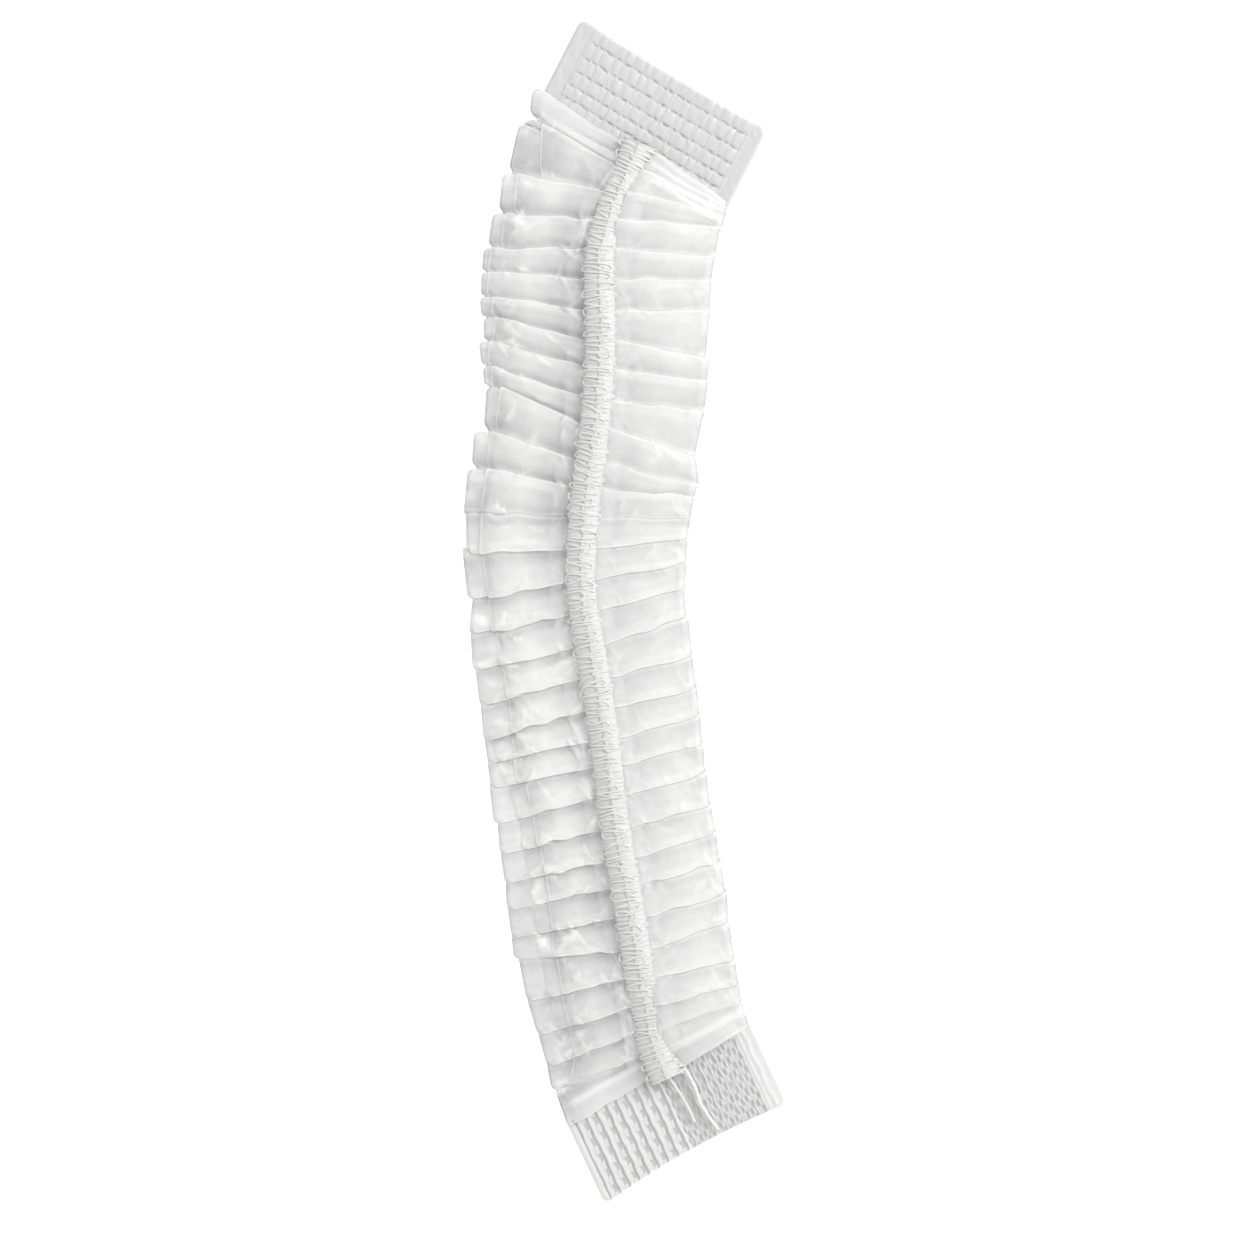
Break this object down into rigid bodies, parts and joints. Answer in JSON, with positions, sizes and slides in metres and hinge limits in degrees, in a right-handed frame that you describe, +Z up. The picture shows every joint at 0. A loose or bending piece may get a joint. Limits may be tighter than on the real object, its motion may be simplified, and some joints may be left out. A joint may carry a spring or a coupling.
{
  "type": "disposable shower cap, folded to a strip",
  "caption": "Pleated plastic-film shower cap folded flat to a strip, gathered by two elastic hems, with welded ends.",
  "frame": {"origin": "on the surface under the middle of the object's box", "axes": "+Y along the folded strip towards its upper end, +Z up from the surface that it lies on"},
  "size_m": [0.0598, 0.2167, 0.0083],
  "materials": {
    "film": "milky translucent film, soft sheen",
    "hem": "bunched film, nearly opaque",
    "elastic": "white covered thread",
    "weld": "heat-welded, embossed film"
  },
  "bodies": {
    "root": {"pleated_film": "film", "left_hem": "hem", "right_hem": "hem", "left_elastic": "elastic", "right_elastic": "elastic", "top_end_weld": "weld", "bottom_end_weld": "weld"}
  },
  "joints": []
}
